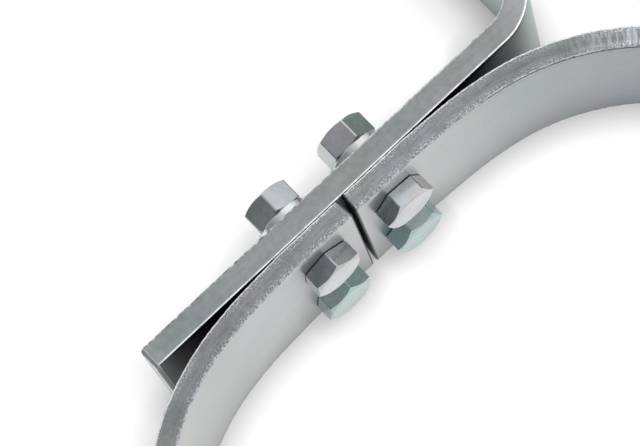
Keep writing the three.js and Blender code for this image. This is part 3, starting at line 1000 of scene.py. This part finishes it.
def build_strips():
    """The bar and the two half bands, with their holes."""
    looks = [BAR_FACE, BAR_EDGE, BAR_RIM, BAR_EDGE, BAR_BACK_RIM, BAR_END]
    bar = strip("bar", bar_path(), BAR_THICK, looks, BAR_SEED, BAR_END_RIM, calm_side=1.0)
    arm_x = BEND_START_X + BEND_INNER_R + BAR_THICK / 2
    holes = [bore_cutter(arm_x, SEAT_Y + y, WIDTH / 2, ARM_HOLE_R, BAR_THICK, "x") for y in ARM_HOLES_Y]
    holes += [
        bore_cutter(x, SEAT_Y + BAR_THICK / 2, z, CLEARANCE_R, BAR_THICK, "y")
        for x in BOLT_SIDE_X.values()
        for z in BOLT_ROW_Z.values()
    ]
    cut(bar, holes, STRIP_SHARP_DEG)
    settle(bar, "clamp", "mounting_bar")
    # The bands' ends at the joint take the near-black painted shade.
    looks = [BAND_FACE, BAND_EDGE, BAND_RIM, SHADED_CUT_ZINC, BAND_INNER_RIM, SHADED_CUT_ZINC]
    for side, sign, start in (("right", 1, GAP_RIGHT_X), ("left", -1, GAP_LEFT_X)):
        path = band_path(start, sign)
        band = strip(f"half_band_{side}", path, BAND_THICK, looks, BAND_SEEDS[side], BAND_END_RIM, END_LEAN)
        joint_place = (BOLT_SIDE_X[side], SEAT_Y - BAND_THICK / 2)
        ear_place = (sign * (EAR_HALF_GAP + BAND_THICK / 2), ear_bolt_y())
        drills = [
            bore_cutter(x, y, z, CLEARANCE_R, BAND_THICK, along)
            for (x, y), along in ((joint_place, "y"), (ear_place, "x"))
            for z in BOLT_ROW_Z.values()
        ]
        cut(band, drills, STRIP_SHARP_DEG)
        settle(band, "clamp", f"band_{side}")


def build_joint_hardware():
    """The four bolts through bar and bands, with their washers and nuts outside the bar."""
    spring_y = BAR_THICK + WASHER[2]
    nut_y = spring_y + SPRING[2]
    for spot, turn in HEAD_TURN.items():
        side, row = spot.split("_")
        x, z = BOLT_SIDE_X[side], BOLT_ROW_Z[row]
        nut_turn, washers = NUT_TURN[spot], f"washers_{spot}"
        screw = bolt(f"bolt_{spot}", JOINT_BOLT_LENGTH, JOINT_THREAD_START)
        pieces = (
            (screw, turn, -BAND_THICK, "clamp", f"joint_bolt_{spot}"),
            (washer(f"washer_{spot}"), 0.0, BAR_THICK, washers, f"joint_washer_{spot}"),
            (
                spring_washer(f"spring_{spot}"), nut_turn + SLIT_TURN, spring_y,
                washers, f"joint_spring_washer_{spot}",
            ),
            (nut(f"hex_nut_{spot}"), nut_turn, nut_y, f"nut_{spot}", f"joint_nut_{spot}"),
        )
        for obj, spin, y, body, node in pieces:
            settle(place(obj, "y", spin, x, SEAT_Y + y, z), body, node)


def build_ear_hardware():
    """The two bolts that close the ears, with a washer under each head and a stack under each nut."""
    face_x = EAR_HALF_GAP + BAND_THICK
    spring_x = face_x + WASHER[2]
    nut_x = spring_x + SPRING[2]
    for row, z in BOLT_ROW_Z.items():
        nut_turn, washers = EAR_NUT_TURN[row], f"ear_washers_{row}"
        screw = bolt(f"closing_bolt_{row}", EAR_BOLT_LENGTH, EAR_THREAD_START)
        pieces = (
            (screw, EAR_HEAD_TURN[row], -face_x - WASHER[2], "clamp", f"ear_bolt_{row}"),
            (washer(f"head_washer_{row}"), 0.0, -face_x - WASHER[2], "clamp", f"ear_head_washer_{row}"),
            (washer(f"nut_washer_{row}"), 0.0, face_x, washers, f"ear_nut_washer_{row}"),
            (
                spring_washer(f"closing_spring_{row}"), nut_turn + SLIT_TURN, spring_x,
                washers, f"ear_spring_washer_{row}",
            ),
            (nut(f"closing_nut_{row}"), nut_turn, nut_x, f"ear_nut_{row}_body", f"ear_nut_{row}"),
        )
        for obj, spin, x, body, node in pieces:
            settle(place(obj, "x", spin, x, ear_bolt_y(), z), body, node)


# ======================= stage =======================

# Half the side of the table and how far it lies below the clamp, in metres.
FLOOR_HALF = 6.0
FLOOR_DROP = 0.00005

# The camera's focal length and place in millimetres, the place counted from the bar's seat, and its turn.
LENS_MM = 225.877
CAMERA_PLACE = (-86.15, -244.61, 970.4)
CAMERA_TURN = (0.2449629, 0.1166569, -0.7479416)

# How much the tent brightens in front and behind: where it starts and ends along y, and the factor.
FRONT_BOOST = (-0.45, -0.95, 2.0)
BACK_BOOST = (0.6, 0.95, 1.6)

# Brightness of the light tent from the dim side (0) to the bright side (1).
SKY = (
    (0.0, (0.23, 0.24, 0.245)),
    (0.18, (0.24, 0.25, 0.26)),
    (0.3, (0.45, 0.46, 0.47)),
    (0.5, (0.6, 0.61, 0.615)),
    (0.58, (0.68, 0.69, 0.695)),
    (0.66, (1.12, 1.13, 1.14)),
    (0.9, (1.12, 1.13, 1.14)),
    (1.0, (0.55, 0.56, 0.57)),
)


def build_floor():
    """The table, which isn't part of the object."""
    mesh = bpy.data.meshes.new("floor")
    h, z = FLOOR_HALF, -FLOOR_DROP
    mesh.from_pydata([(-h, -h, z), (h, -h, z), (h, h, z), (-h, h, z)], [], [(0, 1, 2, 3)])
    mesh.materials.append(white_floor())
    floor = bpy.data.objects.new("floor", mesh)
    bpy.context.scene.collection.objects.link(floor)


def build_lights():
    """A light tent: bright on the arm's side, dim on the other side, brighter in front and behind."""
    world = bpy.data.worlds.new("studio")
    world.use_nodes = True
    tree = world.node_tree
    coords = tree.nodes.new("ShaderNodeTexCoord")
    axes = tree.nodes.new("ShaderNodeSeparateXYZ")
    tree.links.new(coords.outputs["Generated"], axes.inputs[0])

    def ranged(axis, low, high, to_low, to_high):
        node = tree.nodes.new("ShaderNodeMapRange")
        for name, value in zip(("From Min", "From Max", "To Min", "To Max"), (low, high, to_low, to_high)):
            node.inputs[name].default_value = value
        tree.links.new(axes.outputs[axis], node.inputs["Value"])
        return node.outputs["Result"]

    ramp = tree.nodes.new("ShaderNodeValToRGB")
    fill_ramp(ramp, SKY)
    tree.links.new(ranged("X", -1.0, 1.0, 0.0, 1.0), ramp.inputs["Fac"])
    both = tree.nodes.new("ShaderNodeMath")
    both.operation = "MULTIPLY"
    for socket, (low, high, factor) in zip(both.inputs, (FRONT_BOOST, BACK_BOOST)):
        tree.links.new(ranged("Y", low, high, 1.0, factor), socket)
    background = tree.nodes["Background"]
    tree.links.new(ramp.outputs["Color"], background.inputs["Color"])
    tree.links.new(both.outputs[0], background.inputs["Strength"])
    bpy.context.scene.world = world


def build_camera():
    """The camera stands over the ring's side of the joint and looks steeply down on it."""
    data = bpy.data.cameras.new("camera")
    data.sensor_width = 36.0
    data.lens = LENS_MM
    data.clip_start = 0.01
    data.clip_end = 20
    camera = bpy.data.objects.new("camera", data)
    x, y, z = CAMERA_PLACE
    camera.location = Vector((x, SEAT_Y + y, z)) * MM
    camera.rotation_euler = CAMERA_TURN
    bpy.context.scene.collection.objects.link(camera)
    bpy.context.scene.camera = camera


build_strips()
build_joint_hardware()
build_ear_hardware()
build_floor()
build_lights()
build_camera()
bpy.context.scene.view_settings.view_transform = "Standard"
